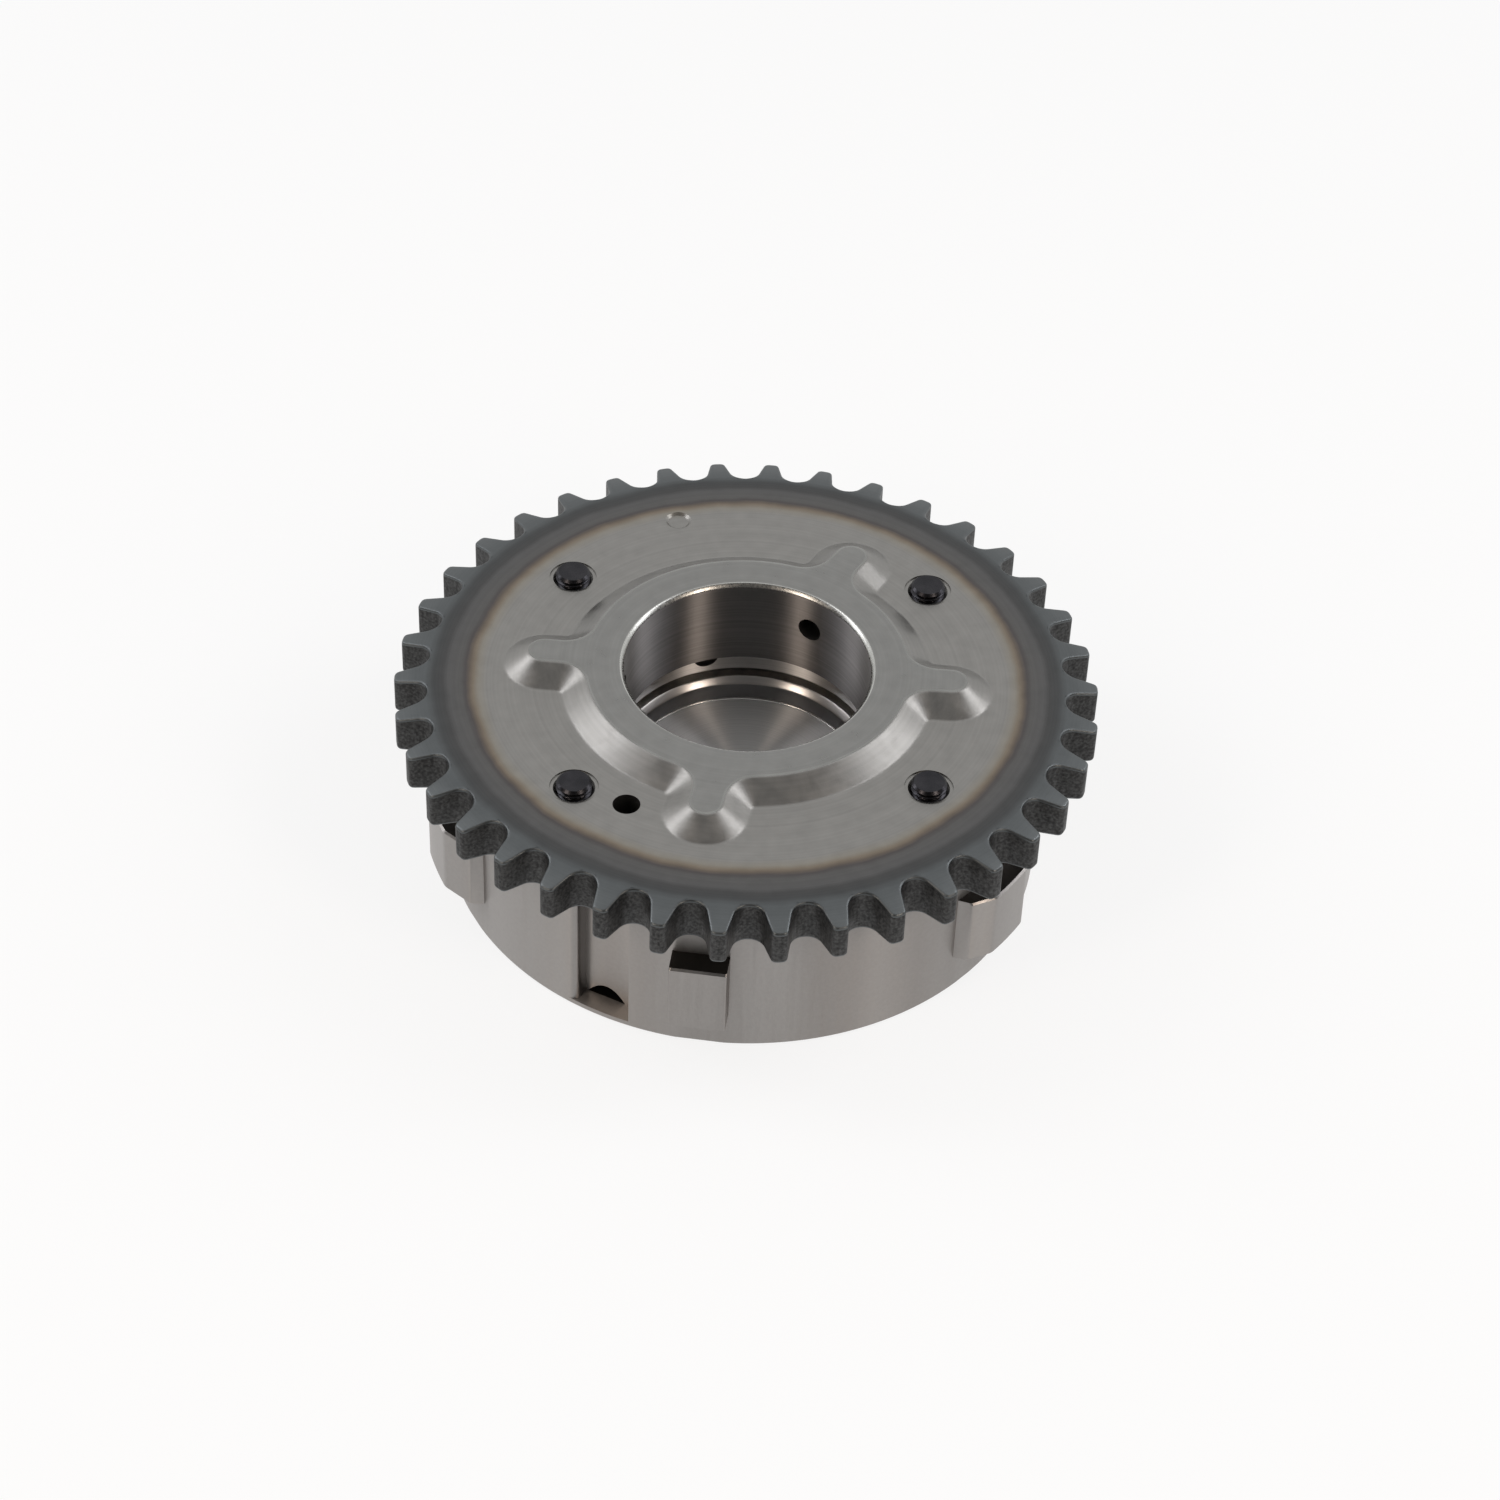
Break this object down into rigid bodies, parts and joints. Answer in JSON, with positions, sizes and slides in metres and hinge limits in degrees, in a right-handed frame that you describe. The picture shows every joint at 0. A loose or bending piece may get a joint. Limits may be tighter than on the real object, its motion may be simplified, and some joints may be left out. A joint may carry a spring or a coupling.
{
  "type": "cam phaser",
  "caption": "Vane-type hydraulic cam phaser: a chain sprocket bolted to a round housing in which a vaned rotor turns on the camshaft's nose, held at rest by a lock pin.",
  "frame": {"origin": "on the axis, in the plane of the housing's front face", "axes": "+Z along the axis towards the camshaft; +X to the picture's right and +Y away from its camera"},
  "size_m": [0.12, 0.12, 0.0391],
  "materials": {
    "wheel_steel": "turned sintered steel with heat-tinted teeth",
    "housing_steel": "satin, faintly warm",
    "rotor_steel": "machined",
    "black_steel": "black oxide, oiled",
    "hard_steel": "ground",
    "seat_steel": "turned",
    "spring_steel": "bright spring steel",
    "seal_polymer": "moulded, matt"
  },
  "bodies": {
    "drive": {"sprocket": "wheel_steel", "housing": "housing_steel", "lock_bush": "hard_steel", "fixing_screws": "black_steel", "shoe_seal_1": "seal_polymer", "shoe_seal_2": "seal_polymer", "shoe_seal_3": "seal_polymer", "shoe_seal_4": "seal_polymer", "shoe_seal_spring_1": "spring_steel", "shoe_seal_spring_2": "spring_steel", "shoe_seal_spring_3": "spring_steel", "shoe_seal_spring_4": "spring_steel"},
    "rotor": {"rotor": "rotor_steel", "lock_spring_seat": "seat_steel", "lock_spring": "spring_steel", "vane_seal_1": "seal_polymer", "vane_seal_2": "seal_polymer", "vane_seal_3": "seal_polymer", "vane_seal_4": "seal_polymer", "vane_seal_spring_1": "spring_steel", "vane_seal_spring_2": "spring_steel", "vane_seal_spring_3": "spring_steel", "vane_seal_spring_4": "spring_steel"},
    "lock_pin": {"lock_pin": "hard_steel"}
  },
  "joints": [
    {"name": "rotor_turn", "type": "hinge", "parent": "drive", "child": "rotor", "pos_m": [0, 0, 0], "axis": [0, 0, 1], "range_deg": [-12.5, 12.5]},
    {"name": "lock_pin_slide", "type": "slide", "parent": "rotor", "child": "lock_pin", "axis": [0, 0, 1], "range_m": [-0.0015, 0], "stiffness_N_per_m": 800, "springref_m": 0.004, "deforming": ["lock_spring"]}
  ]
}
